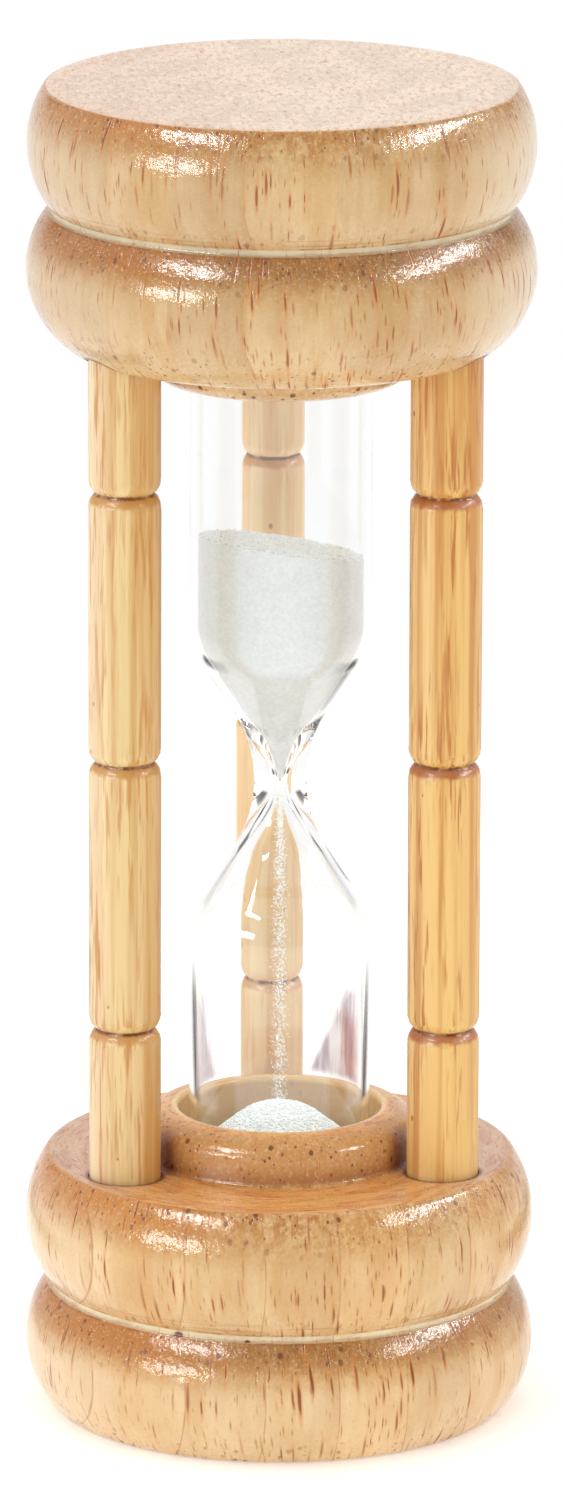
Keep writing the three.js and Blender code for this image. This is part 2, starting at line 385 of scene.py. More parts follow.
def capProfile(turning):
    faceRadius = bodyRadius - turning["faceInset"]
    quirkRadius = bodyRadius - turning["quirkInset"]
    crestRadius = bodyRadius - turning["crestInset"]
    quirk, half = turning["outerBead"][0], cap["quirkWidth"] / 2
    face = innerFace(turning)
    foot = face - turning["faceDish"]
    rim = foot + turning["collarRise"]
    roll, edge = turning["crestRound"], cap["faceEdge"]
    bead = bulge((faceRadius, 0), (quirkRadius, quirk - half), turning["outerBead"][1], 40)
    softEdge = easedCorner((faceRadius - 1.6 * edge, 0), bead[0], bead[1], 5)
    crest = (crestRadius, face - roll)
    inner = bulge((quirkRadius, quirk + half), crest, turning["innerBead"][1], 40)
    groove = quirkRadius - cap["quirkDepth"]
    points = [(0, 0), *softEdge, *bead[2:]]
    points += easedCorner(bead[-1], (groove, quirk - half), (groove, quirk - half + 0.08), 3)
    points += easedCorner((groove, quirk + half - 0.08), (groove, quirk + half), inner[0], 3)
    points += inner[1:]
    points += easedCorner(crest, (crestRadius - roll, face), (crestRadius - 2.4 * roll, face), 10)
    flare, chamfer = cap["collarFlare"], cap["collarChamfer"]
    swell = [(collarRadius + flare, foot), (collarRadius, foot), (collarRadius, foot + flare * 1.6)]
    points += easedCorner(*swell, 5)
    crown, rise = cap["collarWall"] - chamfer, turning["collarRound"]
    quarter = arc((0, 0), 1, 0, 90, 18)
    points += [(collarRadius - crown + crown * c, rim - rise + rise * h) for c, h in quarter]
    brim = [(socketRadius + chamfer, rim), (socketRadius, rim), (socketRadius, rim - chamfer)]
    points += easedCorner(*brim, 5)
    points += [(socketRadius, cap["socketFloor"]), (0, cap["socketFloor"])]
    return points


# a cap stands on its outer face; the upper one is the same shape turned over
def makeCap(name, turning, material):
    piece = turned(name, capProfile(turning), cap["steps"])
    floor = innerFace(turning) - cap["holeDepth"]
    ease, snug = cap["holeEase"], post["radius"] + cap["holeFit"]
    mouth = innerFace(turning) + 0.02
    above = innerFace(turning) + 2
    drill = [(0, floor), (snug, floor), (snug, mouth - ease)]
    drill += [(snug + ease, mouth), (snug + ease, above), (0, above)]
    drills = []
    for place in postNames:
        x, y = postPlace(place)
        bit = turned("drill", drill, 64)
        bit.location = (x * mm, y * mm, 0)
        drills.append(bit)
    for bit in drills:
        cut = piece.modifiers.new("post hole", "BOOLEAN")
        cut.operation = "DIFFERENCE"
        cut.solver = "EXACT"
        cut.object = bit
        deselectAll()
        bpy.context.view_layer.objects.active = piece
        piece.select_set(True)
        bpy.ops.object.modifier_apply(modifier=cut.name)
        bpy.data.objects.remove(bit)
    smooth(piece)
    wear(piece, material)
    return piece


capWood = {
    # painted sheen: a little white painted into the lacquer's colour for its reflection of the surroundings
    "paintedHaze": 0.012,
    "lacquerRoughness": 0.08,
    "pale": tint(243, 212, 162),
    "honey": tint(230, 188, 128),
    "slope": tint(188, 126, 56),
    "warmSlope": tint(200, 122, 34),
    # colour of the painted shade under the land
    "nookShade": tint(156, 100, 30),
    "face": tint(218, 192, 168),
    "facePale": tint(250, 226, 202),
    "faceTick": tint(194, 132, 78),
    "faceDot": tint(124, 62, 22),
    "shelf": tint(232, 170, 96),
    "shelfTick": tint(176, 96, 42),
    # greyer shelf colour for its painted sheen and shade at the sides
    "shelfSide": tint(198, 170, 152),
    "collar": tint(208, 156, 96),
    # colour of the painted shade at the collar's foot
    "collarFoot": tint(150, 88, 52),
    "socket": tint(222, 180, 134),
    # colour of the painted highlight on the rim
    "rim": tint(246, 212, 156),
    "pore": tint(124, 56, 10),
    "halo": tint(212, 134, 58),
    "dot": tint(104, 36, 8),
    # pale colour of painted light and reflection
    "paintedLight": tint(252, 228, 192),
    "seam": tint(184, 128, 78),
    "land": tint(255, 244, 210),
    "knot": tint(120, 48, 26),
    # colour of the painted shade round the posts
    "corner": tint(108, 30, 18),
    "stripWidth": 4.85,
    "girth": 16.4,
}


# vessels that the lathe cut open: slivers along the grain, in a skin of wood laid round the cap;
# the soft stain round each vessel comes first, then the vessel
def pores(s, t, z, cell, length, size):
    skin = s.combine(t / cell, z / length, 0.0)
    flat = {"voronoi_dimensions": "2D"}
    near = s.node("TexVoronoi", flat, {"Vector": skin, "Scale": 1.0}, out="Distance")
    chance, _, wideness = s.split(s.node("TexVoronoi", flat, {"Vector": skin, "Scale": 1.0}, out="Color"))
    away = near / (wideness * 0.9 + 0.45)
    kept = s.ease(chance, 0.53, 0.65)
    halo = (1 - s.ease(away, size * 0.6, size * 2.1)) * kept
    core = (1 - s.ease(away, size * 0.5, size)) * kept
    return halo, core


def makeCapWood(name, turning):
    lean = math.radians(turning["lean"])
    offset = turning["stripOffset"] + 20 * capWood["stripWidth"]
    seamDepth, knots, turnedOver = turning["seamDepth"], turning["knots"], turning["turnedOver"]
    s = Shader(name)
    where = s.place()
    x, y, z = s.split(where)
    nz = s.split(s.node("TexCoord", out="Normal"))[2]
    quirk, rim = turning["outerBead"][0], innerFace(turning) - turning["faceDish"] + turning["collarRise"]
    if turnedOver:
        quirk, rim = standHeight - quirk, standHeight - rim
    u = x * math.cos(lean) + y * math.sin(lean) + offset
    v = y * math.cos(lean) - x * math.sin(lean)
    strip = s.maths("FLOOR", u / capWood["stripWidth"])
    within = s.maths("FRACT", u / capWood["stripWidth"])
    edge = s.maths("MINIMUM", within, 1 - within) * capWood["stripWidth"]
    broken = s.ease(s.noise(s.combine(strip * 3.1, strip * 1.7, z * 0.35), 1.0, 2.0), 0.4, 0.58)
    seam = (1 - s.ease(edge, 0.015, 0.075)) * (broken * 0.7 + 0.3)
    board = s.node("TexWhiteNoise", {"noise_dimensions": "1D"}, {"W": strip * 1.7 + 3.1})
    gx, gy, gz = u + strip * 13.7, v + strip * 5.3, z
    radius = s.length(s.combine(x, y, 0.0))
    drift = s.noise(s.combine(x * 0.16, y * 0.16, z * 0.05), 1.0, 0.0)
    t = s.maths("ARCTAN2", x, y * -1) * capWood["girth"] + z * 0.03 + (drift - 0.5) * 1.4
    depth = radius * 0.22 + z * 0.015

    # sides: pale bands and fibres, browner and spotted where the bead slopes upward
    rising = s.ease(nz, 0.05, 0.6)
    hanging = s.ease(nz * -1, 0.2, 0.8)
    sloping = s.maths("MAXIMUM", rising, hanging * 0.5)
    bands = s.noise(s.combine(gx, gy, gz * 0.05), 0.5, 3.0, 0.55)
    fibres = s.noise(s.combine(t * 7.0, depth * 9.0, z * 0.5), 1.0, 2.0, 0.6)
    rays = s.noise(s.combine(t * 2.6, depth * 4.0, z * 0.22), 1.0, 3.0, 0.6)
    cloud = s.noise(s.combine(gx * 0.2, gy * 0.2, gz * 0.14), 1.0, 2.0, 0.5)
    mottle = s.noise(s.combine(gx * 1.6, gy * 1.6, gz * 0.9), 1.0, 3.0, 0.7)
    grit = s.noise(where, 4.5, 2.0, 0.7)
    colour = s.mix(s.ease(bands, 0.38, 0.66), capWood["pale"], capWood["honey"])
    colour = s.mix(s.ease(cloud, 0.42, 0.66) * 0.25, colour, capWood["slope"])
    colour = s.mix(rising * (s.ease(mottle, 0.36, 0.62) * 0.75 + 0.25), colour, capWood["slope"])
    # painted light from below: down-facing slopes paler
    colour = s.mix(hanging * 0.3, colour, capWood["pale"])
    under = quirk - z
    # painted shade under the land, where the bead above overhangs
    nookShade = s.ease(under, 0.0, 0.1) * (1 - s.ease(under + (mottle - 0.5) * 1.2, 0.9, 2.6))
    colour = s.mix(nookShade * 0.75, colour, capWood["nookShade"])
    colour = s.mix(s.ease(rays, 0.46, 0.7) * 0.22, colour, capWood["honey"])
    colour = s.mix(s.ease(fibres, 0.45, 0.75) * 0.3, colour, capWood["honey"])
    # painted light: paler towards the left and right edges, a painted reflection of the white surroundings
    paintedLight = s.ease(x, 9.5, 15.5) * turning["paintedLight"][1] + s.ease(x * -1, 9.5, 15.5) * turning["paintedLight"][0]
    colour = s.mix(paintedLight * (1 - rising) * (1 - nookShade), colour, capWood["paintedLight"])
    colour = s.mix(rising * s.ease(x * -1, 1.0, 10.0) * 0.7, colour, capWood["warmSlope"])
    # painted light from the floor: the lowest part of the bead paler
    colour = s.mix(s.ease(under, 1.5, 4.0) * (1 - rising) * turning["paintedFloorLight"], colour, capWood["paintedLight"])
    # painted shade: darker towards the right side
    colour = s.mix(s.ease(x, 7.0, 15.0) * turning["paintedShade"], colour, capWood["slope"])
    level = board * 0.12 + turning["tone"]
    level = s.combine(level, level, level)
    colour = s.mix(1.0, colour, level, "MULTIPLY")

    # vessels, and on the slopes the round ends of others
    side = 1 - s.ease(s.maths("ABSOLUTE", nz), 0.86, 0.97)
    clusters = s.ease(s.noise(s.combine(gx * 0.34, gy * 0.34, gz * 0.1), 1.0, 1.0), 0.4, 0.58)
    grain = t + (s.noise(where, 0.5, 1.0) - 0.5) * 0.2
    wideHalo, wideCore = pores(s, grain, z, 0.8, 8.0, 0.125)
    thinHalo, thinCore = pores(s, grain + 31.0, z, 0.46, 4.2, 0.17)
    tinyHalo, tinyCore = pores(s, grain + 57.0, z, 0.28, 1.7, 0.2)
    lap = innerFace(turning) - 0.1
    onCollar = s.ease(standHeight - z if turnedOver else z, lap, lap + 0.3)
    side = side * (1 - onCollar * 0.75)
    common = clusters * 0.65 + 0.35
    stained = s.maths("MAXIMUM", wideHalo * common, thinHalo * common * 0.8)
    stained = s.maths("MAXIMUM", stained, tinyHalo * clusters * 0.5) * side
    hollow = s.maths("MAXIMUM", wideCore * common, thinCore * common * 0.85)
    hollow = s.maths("MAXIMUM", hollow, tinyCore * clusters * 0.5) * side
    leftward = s.ease(x * -1, -4.0, 10.0) * 0.2
    pits = 0.0
    for scale, rarity in ((1.5, 0.42), (2.9, 0.55)):
        cells = {"Vector": s.combine(x + 40.0, y, z * 0.7), "Scale": scale}
        pitNear = s.node("TexVoronoi", inputs=cells, out="Distance")
        chance, width, _ = s.split(s.node("TexVoronoi", inputs=cells, out="Color"))
        round = 1 - s.ease(pitNear / (width + 0.4), 0.14, 0.27)
        pits = s.maths("MAXIMUM", pits, round * s.ease(chance + leftward, rarity, rarity + 0.1))
    pits = pits * s.maths("MAXIMUM", s.maths("MAXIMUM", rising, hanging * 0.8), onCollar)
    stainedCollar = onCollar * turning["collarTint"]
    colour = s.mix(stainedCollar * (s.ease(mottle, 0.3, 0.6) * 0.3 + 0.6), colour, capWood["collar"])
    # painted shade in the corner at the collar's foot
    foot = stainedCollar * (1 - s.ease(standHeight - z if turnedOver else z, lap + 0.2, lap + 1.5))
    colour = s.mix(foot * 0.55, colour, capWood["collarFoot"])
    # dark and pale specks, strongest on the slopes and collar; the pale ones are partly the wood's own
    # flecks, partly painted glints
    speckled = s.maths("MAXIMUM", sloping, onCollar) * 0.35 + 0.15
    colour = s.mix(s.ease(grit, 0.52, 0.68) * speckled, colour, capWood["halo"])
    colour = s.mix(s.ease(1 - grit, 0.54, 0.7) * speckled, colour, capWood["pale"])
    colour = s.mix(stained * 0.7, colour, capWood["halo"])
    colour = s.mix(hollow * 0.88, colour, capWood["pore"])
    colour = s.mix(pits * 0.85, colour, capWood["dot"])

    # flat faces: strokes along the growth rings on the inner one, specks on the paler outer one
    face = s.ease(s.maths("ABSOLUTE", nz), 0.9, 0.985)
    outer = s.ease(z, 88.5, 89.5) if turnedOver else 1 - s.ease(z, 0.5, 1.5)
    swirl = s.noise(s.combine(x * 0.12, y * 0.12, 0.0), 1.0, 1.0)
    bearing = s.combine(radius * 3.6 + swirl * 9.0, x / radius * 7.0, y / radius * 7.0)
    strokes = s.noise(bearing, 1.0, 3.0, 0.7)
    smear = s.noise(s.vector("MULTIPLY", bearing, (0.3, 0.4, 0.4)), 1.0, 3.0, 0.6)
    # painted sheen and shade: the shelf greyer towards the sides, behind the posts
    atSides = s.ease(s.maths("ABSOLUTE", x), 8.0, 13.0)
    shelf = s.mix(atSides * 0.7, capWood["shelf"], capWood["shelfSide"])
    shelf = s.mix(s.ease(smear, 0.42, 0.68) * 0.3, shelf, capWood["honey"])
    shelf = s.mix(s.ease(1 - smear, 0.46, 0.66) * 0.35, shelf, capWood["shelfTick"])
    shelf = s.mix(s.ease(strokes, 0.54, 0.62) * 0.7, shelf, capWood["shelfTick"])
    shelf = s.mix(s.ease(grit, 0.54, 0.66) * 0.45, shelf, capWood["shelfTick"])
    broad = s.noise(s.combine(x * 0.3 - y * 0.1, y * 0.16, 0.0), 1.0, 2.0)
    specks = s.noise(s.combine(x * 2.6, y * 0.9, 5.0), 1.0, 3.0, 0.75) + (broad - 0.5) * 0.12
    glints = s.noise(s.combine(x * 2.8, y * 1.1, 9.0), 1.0, 2.0, 0.75)
    cells = {"Vector": s.combine(x * 1.5, y * 0.55, 0.0), "Scale": 1.0}
    dotNear = s.node("TexVoronoi", inputs=cells, out="Distance")
    chance, width, _ = s.split(s.node("TexVoronoi", inputs=cells, out="Color"))
    dots = (1 - s.ease(dotNear / (width + 0.4), 0.1, 0.22)) * s.ease(chance, 0.45, 0.55)
    plate = s.mix(s.ease(broad, 0.4, 0.62) * 0.5, capWood["face"], capWood["facePale"])
    # painted shade: the face darker towards the left
    plate = s.mix(s.ease(x * -1, -2.0, 12.0) * 0.22, plate, capWood["faceTick"])
    plate = s.mix(s.ease(glints, 0.53, 0.62) * 0.55, plate, capWood["facePale"])
    plate = s.mix(s.ease(specks, 0.51, 0.6) * 0.55, plate, capWood["faceTick"])
    plate = s.mix(dots * 0.5, plate, capWood["faceDot"])
    colour = s.mix(face, colour, s.mix(outer, shelf, plate))
    hole = 1 - s.ease(radius, socketRadius + 0.02, socketRadius + 0.1)
    inside = hole * (1 - outer)
    colour = s.mix(inside * (1 - face) * 0.8, colour, capWood["socket"])
    # painted highlight: a pale line along the rim's inner edge, where the chamfer catches light
    offRim = s.combine(radius - socketRadius - 0.1, z - rim, 0.0)
    offRim = s.length(offRim)
    colour = s.mix((1 - s.ease(offRim, 0.15, 0.5)) * 0.8, colour, capWood["rim"])
    seam = seam * seamDepth * (1 - face) * (1 - onCollar * 0.8)
    colour = s.mix(seam, colour, capWood["seam"])

    # the flat land between the beads, and tool marks beside it
    apart = s.maths("ABSOLUTE", z - quirk)
    worn = s.noise(s.combine(t * 0.5, 0.0, z * 2.0), 1.0, 3.0, 0.65)
    notches = s.ease(s.noise(s.combine(t * 2.4, 0.0, 0.0), 1.0, 2.0, 0.7), 0.6, 0.66)
    land = (1 - s.ease(apart, 0.2, 0.28)) * (s.ease(worn, 0.3, 0.6) * 0.6 + 0.4) * (1 - notches * 0.7)
    marks = s.ease(s.noise(s.combine(t * 0.12, 0.0, z * 8.0), 1.0, 1.0), 0.54, 0.66)
    marks = marks * s.ease(apart, 0.22, 0.4) * (1 - s.ease(apart, 0.8, 1.5))
    # painted shade: a broken dark line along both edges of the land
    landEdgeShade = (1 - s.ease(s.maths("ABSOLUTE", apart - 0.28), 0.02, 0.12)) * s.ease(worn, 0.42, 0.6)
    colour = s.mix(marks * 0.45, colour, capWood["seam"])
    colour = s.mix(land * 0.85, colour, s.mix(1.0, capWood["land"], level, "MULTIPLY"))
    colour = s.mix(landEdgeShade * 0.45, colour, capWood["pore"])
    for angle, reach, height, size in knots:
        spot = (reach * math.sin(angle), -reach * math.cos(angle), height)
        away = s.node("VectorMath", {"operation": "DISTANCE"}, {0: where, 1: spot}, out="Value")
        knot = 1 - s.ease(away + (mottle - 0.5) * 0.3, size * 0.6, size)
        colour = s.mix(knot * 0.9, colour, capWood["knot"])

    # painted shade where the posts stand close to the collar and in a ring round each post's foot; the finish
    # is duller there too
    tight = 1 - s.ease(radius, collarRadius + 0.1, collarRadius + 0.5)
    contactShade = 0.0
    for standing in postNames:
        px, py = postPlace(standing)
        gap = s.length(s.combine(x - px, y - py, 0.0))
        near = (1 - s.ease(gap, post["radius"] + 0.3, post["radius"] + 1.5)) * tight
        postFootShade = 1 - s.ease(gap, post["radius"] + 0.14, post["radius"] + 0.45)
        contactShade = s.maths("MAXIMUM", s.maths("MAXIMUM", near, postFootShade * 0.9), contactShade)
    contactShade = contactShade * (1 - outer)
    colour = s.mix(contactShade * 0.95, colour, capWood["corner"])

    relief = 1 - hollow * 0.9 - pits * 0.4 - stained * 0.2 - seam * 0.3
    wave = s.noise(where, 0.9, 2.0)
    peel = s.noise(where, 3.0, 2.0, 0.6)
    normal = s.bump(wave, 0.08, 0.6)
    normal = s.bump(peel, 0.04, 0.6, normal)
    normal = s.bump(grit, 0.02, 0.6, normal)
    normal = s.bump(fibres, 0.006, 0.5, normal)
    normal = s.bump(relief, 0.03, 0.8, normal)
    dull = rising * 0.3 + nookShade * 0.1 + pits * 0.5 + hollow * 0.5 + face * 0.2
    thin = 1 - (1 - dull) * (1 - contactShade * 0.9)
    shader = {
        # painted sheen: a little white painted into the colour
        "Base Color": s.mix(capWood["paintedHaze"], colour, tint(255, 255, 255)),
        "Roughness": capWood["lacquerRoughness"] + thin * 0.3,
        "Specular IOR Level": 0.5 * turning["gloss"],
        "Normal": normal,
    }
    return s.finish(s.node("BsdfPrincipled", inputs=shader))


baseWood = makeCapWood("base wood", base)
topWood = makeCapWood("top wood", top)

baseCap = makeCap("baseCap", base, baseWood)
settle(baseCap, "stand", "cap_wood", "base_cap")
topCap = makeCap("topCap", top, topWood)
topCap.data.transform(Matrix.Translation((0, 0, standHeight * mm)) @ Matrix.Rotation(math.pi, 4, "Y"))
settle(topCap, "stand", "cap_wood", "top_cap")
print("caps turned")


def postProfile(shift):
    low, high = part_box("post_left")
    bottom, end = low.z / mm, high.z / mm
    radius, depth = post["radius"], post["grooveDepth"]
    half, shoulder, chamfer = post["grooveHalfWidth"], post["grooveShoulder"], post["endChamfer"]
    eased = min(shoulder / math.hypot(depth, half), 0.8)
    easedDepth, easedRise = radius - depth * eased, half * (1 - eased)
    points = [(0, bottom), (radius - chamfer, bottom), (radius, bottom + chamfer)]
    for i in range(post["grooveCount"]):
        middle = standHeight / 2 + shift + (i - (post["grooveCount"] - 1) / 2) * post["grooveSpacing"]
        lower, upper = (easedDepth, middle - easedRise), (easedDepth, middle + easedRise)
        points += easedCorner((radius, middle - half - shoulder), (radius, middle - half), lower, 6)
        points += [(radius - depth, middle - 0.04), (radius - depth, middle + 0.04)]
        points += easedCorner(upper, (radius, middle + half), (radius, middle + half + shoulder), 6)
    points += [(radius, end - chamfer), (radius - chamfer, end), (0, end)]
    return points


def makePost(name, shift):
    piece = turned(name, postProfile(shift), post["steps"])
    reach = post["grooveHalfWidth"] * mm
    spots = [standHeight / 2 + shift + (i - 1) * post["grooveSpacing"] for i in range(post["grooveCount"])]
    for v in piece.data.vertices:
        v.select = any(abs(v.co.z - spot * mm) < reach for spot in spots)
    bpy.ops.object.mode_set(mode="EDIT")
    bpy.ops.transform.vertex_random(offset=post["ragged"] * mm, seed=4)
    bpy.ops.object.mode_set(mode="OBJECT")
    smooth(piece, 50)
    return piece


# for each post, the last two amounts paint light on its left side and shade on its right
postTones = {
    "post_left": {
        "grooveShift": 0.8,
        "flank": tint(204, 144, 62),
        "pale": tint(236, 208, 148),
        "deep": tint(212, 168, 96),
        "streak": tint(200, 136, 60),
        "amount": 0.85,
        "paintedLight": 0.65,
        "paintedShade": 0.4,
    },
    "post_right": {
        "grooveShift": 0.55,
        "flank": tint(178, 96, 18),
        "pale": tint(242, 200, 122),
        "deep": tint(210, 152, 72),
        "streak": tint(190, 116, 40),
        "amount": 0.95,
        "paintedLight": 0.1,
        "paintedShade": 0.2,
    },
    # paler tones for the back post: painted light on its front, which faces the dimmer front of the studio
    "post_back": {
        "grooveShift": -0.75,
        "flank": tint(214, 160, 100),
        "pale": tint(248, 220, 172),
        "deep": tint(240, 200, 146),
        "streak": tint(226, 174, 112),
        "amount": 0.45,
        "paintedLight": 0.0,
        "paintedShade": 0.0,
    },
}
postStain = tint(128, 66, 20)
postSpeck = tint(160, 70, 30)


def makePostWood(name, tones, seed):
    s = Shader(name)
    x, y, z = s.split(s.place())
    nz = s.split(s.node("TexCoord", out="Normal"))[2]
    gx, gy = x + seed * 7.3, y - seed * 4.1
    bands = s.noise(s.combine(gx, gy, z * 0.02), 0.9, 3.0, 0.55)
    fibres = s.noise(s.combine(gx * 6.0, gy * 6.0, z * 0.16), 1.0, 3.0, 0.6)
    streaks = s.noise(s.combine(gx * 2.8, gy * 2.8, z * 0.17), 1.0, 2.0, 0.55)
    fine = s.noise(s.combine(gx * 5.2, gy * 5.2, z * 0.3), 1.0, 1.0)
    cloud = s.noise(s.combine(gx * 0.5, gy * 0.5, z * 0.08), 1.0, 1.0)

    patches = s.ease(cloud, 0.36, 0.58)
    colour = s.mix(s.ease(bands, 0.4, 0.6), tones["pale"], tones["deep"])
    px = postPlace(name)[0]
    # painted light on the post's left side, painted shade on its right
    colour = s.mix((1 - s.ease(x, px - 2.2, px - 0.4)) * tones["paintedLight"], colour, capWood["paintedLight"])
    colour = s.mix(s.ease(x, px, px + 2.0) * tones["paintedShade"], colour, tones["streak"])
    colour = s.mix(s.ease(streaks, 0.52, 0.66) * patches * tones["amount"], colour, tones["streak"])
    colour = s.mix(s.ease(fine, 0.58, 0.7) * patches * tones["amount"] * 0.7, colour, tones["streak"])
    colour = s.mix(s.ease(fibres, 0.5, 0.8) * 0.22, colour, tones["streak"])

    # grooves: burnt line at the bottom, golden lower flank, a stain that comes and goes round the post
    spacing = post["grooveSpacing"]
    first = standHeight / 2 - spacing + tones["grooveShift"]
    count = s.maths("FLOOR", (z - first) / spacing + 0.5)
    above = z - first - count * spacing
    inGrooves = s.ease(z, first - 4, first - 3.9) * (1 - s.ease(z, first + 40.3, first + 40.4))
    around = s.noise(s.combine(gx * 1.1, gy * 1.1, count * 9.0), 1.0, 2.0)
    frayed = s.noise(s.combine(gx * 5.0, gy * 5.0, z * 1.5), 1.0, 1.0)
    depth = above + (frayed - 0.5) * 0.14
    line = (1 - s.ease(s.maths("ABSOLUTE", depth), 0.04, 0.19)) * (s.ease(around, 0.34, 0.52) * 0.6 + 0.4)
    flank = s.ease(nz, 0.15, 0.5) * s.ease(above, -1.2, -0.9)
    patch = s.ease(depth, -0.85, -0.4) * (1 - s.ease(depth, -0.05, 0.1)) * s.ease(around, 0.46, 0.6)
    colour = s.mix(flank * inGrooves * 0.9, colour, tones["flank"])
    colour = s.mix(patch * inGrooves * 0.75, colour, tones["flank"])
    colour = s.mix(line * inGrooves * 0.95, colour, postStain)

    cells = {"Vector": s.combine(gx, gy, z * 0.8), "Scale": 0.55}
    near = s.node("TexVoronoi", inputs=cells, out="Distance")
    kind = s.split(s.node("TexVoronoi", inputs=cells, out="Color"))
    speck = (1 - s.ease(near / (kind[1] + 0.5), 0.05, 0.11)) * s.ease(kind[0], 0.5, 0.55)
    colour = s.mix(speck * 0.75, colour, postSpeck)
    normal = s.bump(fibres, 0.02, 0.5)
    normal = s.bump(frayed, 0.05, 0.4, normal)
    rough = 0.42 + fibres * 0.15
    shader = {
        "Base Color": colour,
        "Roughness": rough,
        "Normal": normal,
        "Coat Weight": 0.3,
        "Coat Roughness": 0.2,
    }
    return s.finish(s.node("BsdfPrincipled", inputs=shader))


for seed, name in enumerate(postNames):
    x, y = postPlace(name)
    piece = makePost(name.replace("post_", "dowel_"), postTones[name]["grooveShift"])
    piece.data.transform(Matrix.Rotation(2.1 * seed, 4, "Z"))
    piece.data.transform(Matrix.Translation((x * mm, y * mm, 0)))
    wear(piece, makePostWood(name, postTones[name], seed + 1))
    settle(piece, "stand", "post_wood", name)
print("posts in place")


vial = {
    "shoulderHeight": 10.7,
    "shoulderRadius": 5.0,
    "neckRadius": 1.75,
    "funnelLean": 33.3,
    "orificeRadius": 0.3,
    "neckLength": 5.0,
    "endRadius": 3.0,
    "endThickness": 1.0,
    "sandClearance": 0.1,
    "steps": 160,
}
boreRadius = heapHigh.x / mm + vial["sandClearance"]
vialWall = vialRadius - boreRadius


# half a waisted wall from the middle of the neck to the straight tube, heights from the neck
def bulbWall(waist, bulb, shoulderArc, count):
    leanDegrees = vial["funnelLean"]
    lean = math.radians(leanDegrees)
    centre = bulb - shoulderArc
    foot = centre + shoulderArc / math.cos(lean) - vial["shoulderHeight"] * math.tan(lean)
    waistArc = (waist - foot) * math.cos(lean) / (1 - math.cos(lean))
    points = arc((waist + waistArc, 0), waistArc, 180, 180 - leanDegrees, count)
    return points + arc((centre, vial["shoulderHeight"]), shoulderArc, -leanDegrees, 0, count)


# the bore keeps an even distance from the outside, and closes in to the orifice at the neck
def boreWall(inset, count):
    wall = vialWall + inset
    even = bulbWall(vial["neckRadius"] - wall, vialRadius - wall, vial["shoulderRadius"] - wall, count)
    closing = vial["neckRadius"] - vialWall - vial["orificeRadius"]
    points = []
    for r, h in even:
        t = min(h / vial["neckLength"], 1)
        points.append((r - closing * (1 - t) ** 2 * (1 + 2 * t), h))
    return points


def bothBulbs(wall):
    upper = [(r, neckHeight + h) for r, h in wall]
    lower = [(r, neckHeight - h) for r, h in wall[1:]]
    return lower[::-1] + upper


def closedEnd(radius, rounding, bottom, count):
    return [(0, bottom)] + arc((radius - rounding, bottom + rounding), rounding, -90, 0, count)


def makeVial():
    outside = bulbWall(vial["neckRadius"], vialRadius, vial["shoulderRadius"], 18)
    half = vialWall / 2
    points = closedEnd(vialRadius, vial["endRadius"], vialBottom, 10)
    points += bothBulbs(outside)
    points += arc((vialRadius - half, vialTop - half), half, 0, 180, 10)
    points += bothBulbs(boreWall(0, 18))[::-1]
    points += closedEnd(boreRadius, vial["endRadius"] - vialWall, vialBottom + vial["endThickness"], 10)[::-1]
    piece = turned("vial", points, vial["steps"])
    smooth(piece, 60)
    return piece


def makeGlass():
    s = Shader("clear glass")
    x, y, z = s.split(s.place())
    ripple = s.noise(s.combine(x * 0.5, y * 0.5, z * 0.16), 1.0, 1.0)
    normal = s.bump(ripple, 0.02, 0.25)
    # what the back of the tube mirrors from the wood at its foot
    rightFoot = s.ease(x + (28.0 - z) * 0.414, 5.1, 5.35) * (1 - s.ease(x, 5.4, 5.65))
    leftFoot = s.ease(x * -1 + (28.0 - z) * 0.183, 5.5, 5.7) * 0.85
    foot = s.maths("MAXIMUM", rightFoot, leftFoot) * s.ease(y, -0.5, 0.5)
    foot = foot * s.ease(z, 20.9, 21.6) * (1 - s.ease(z, 27.0, 28.6))
    foot = foot * (s.ease(s.noise(s.combine(x * 2.3, 0.0, z * 0.15), 1.0, 2.0), 0.35, 0.6) * 0.6 + 0.4)
    core = rightFoot * (1 - s.ease(z, 25.0, 26.6)) * s.ease(x, 4.2, 4.8)
    smear = s.mix(core, (0.38, 0.29, 0.32, 1), (0.3, 0.09, 0.08, 1))
    solid = {
        "Base Color": s.mix(foot, (0.99, 0.996, 0.993, 1), smear),
        "Roughness": 0.0,
        "IOR": 1.5,
        "Transmission Weight": 1.0,
        "Normal": normal,
    }
    glass = s.node("BsdfPrincipled", inputs=solid)
    clear = s.node("BsdfTransparent", inputs={"Color": (0.975, 0.985, 0.98, 1)})
    passing = s.seenBy("Is Shadow Ray", "Is Diffuse Ray")
    return s.finish(s.node("MixShader", inputs={0: passing, 1: glass, 2: clear}))


vialPiece = makeVial()
wear(vialPiece, makeGlass())
settle(vialPiece, "vial", "clear_glass", "glass_vial")
print("vial drawn")


sand = {
    "gap": 0.3,
    "upperDepth": 15.95,
    "upperSlope": 10.7,
    "upperBearing": 38.5,
    "heapSlope": 38,
    "heapPeakRadius": 4.6,
    "grain": 0.09,
    "upperGrains": 4200,
    "heapGrains": 5600,
    "streamGrains": 2600,
    "streamGrain": 0.036,
    "steps": 128,
}
fillRadius = heapHigh.x / mm


def makeGrain():
    deselectAll()
    bpy.ops.mesh.primitive_ico_sphere_add(subdivisions=1, radius=1, location=(0, 0, 0))
    piece = bpy.context.object
    bpy.ops.object.mode_set(mode="EDIT")
    bpy.ops.mesh.select_all(action="SELECT")
    bpy.ops.transform.vertex_random(offset=0.28, seed=2)
    bpy.ops.object.mode_set(mode="OBJECT")
    return piece


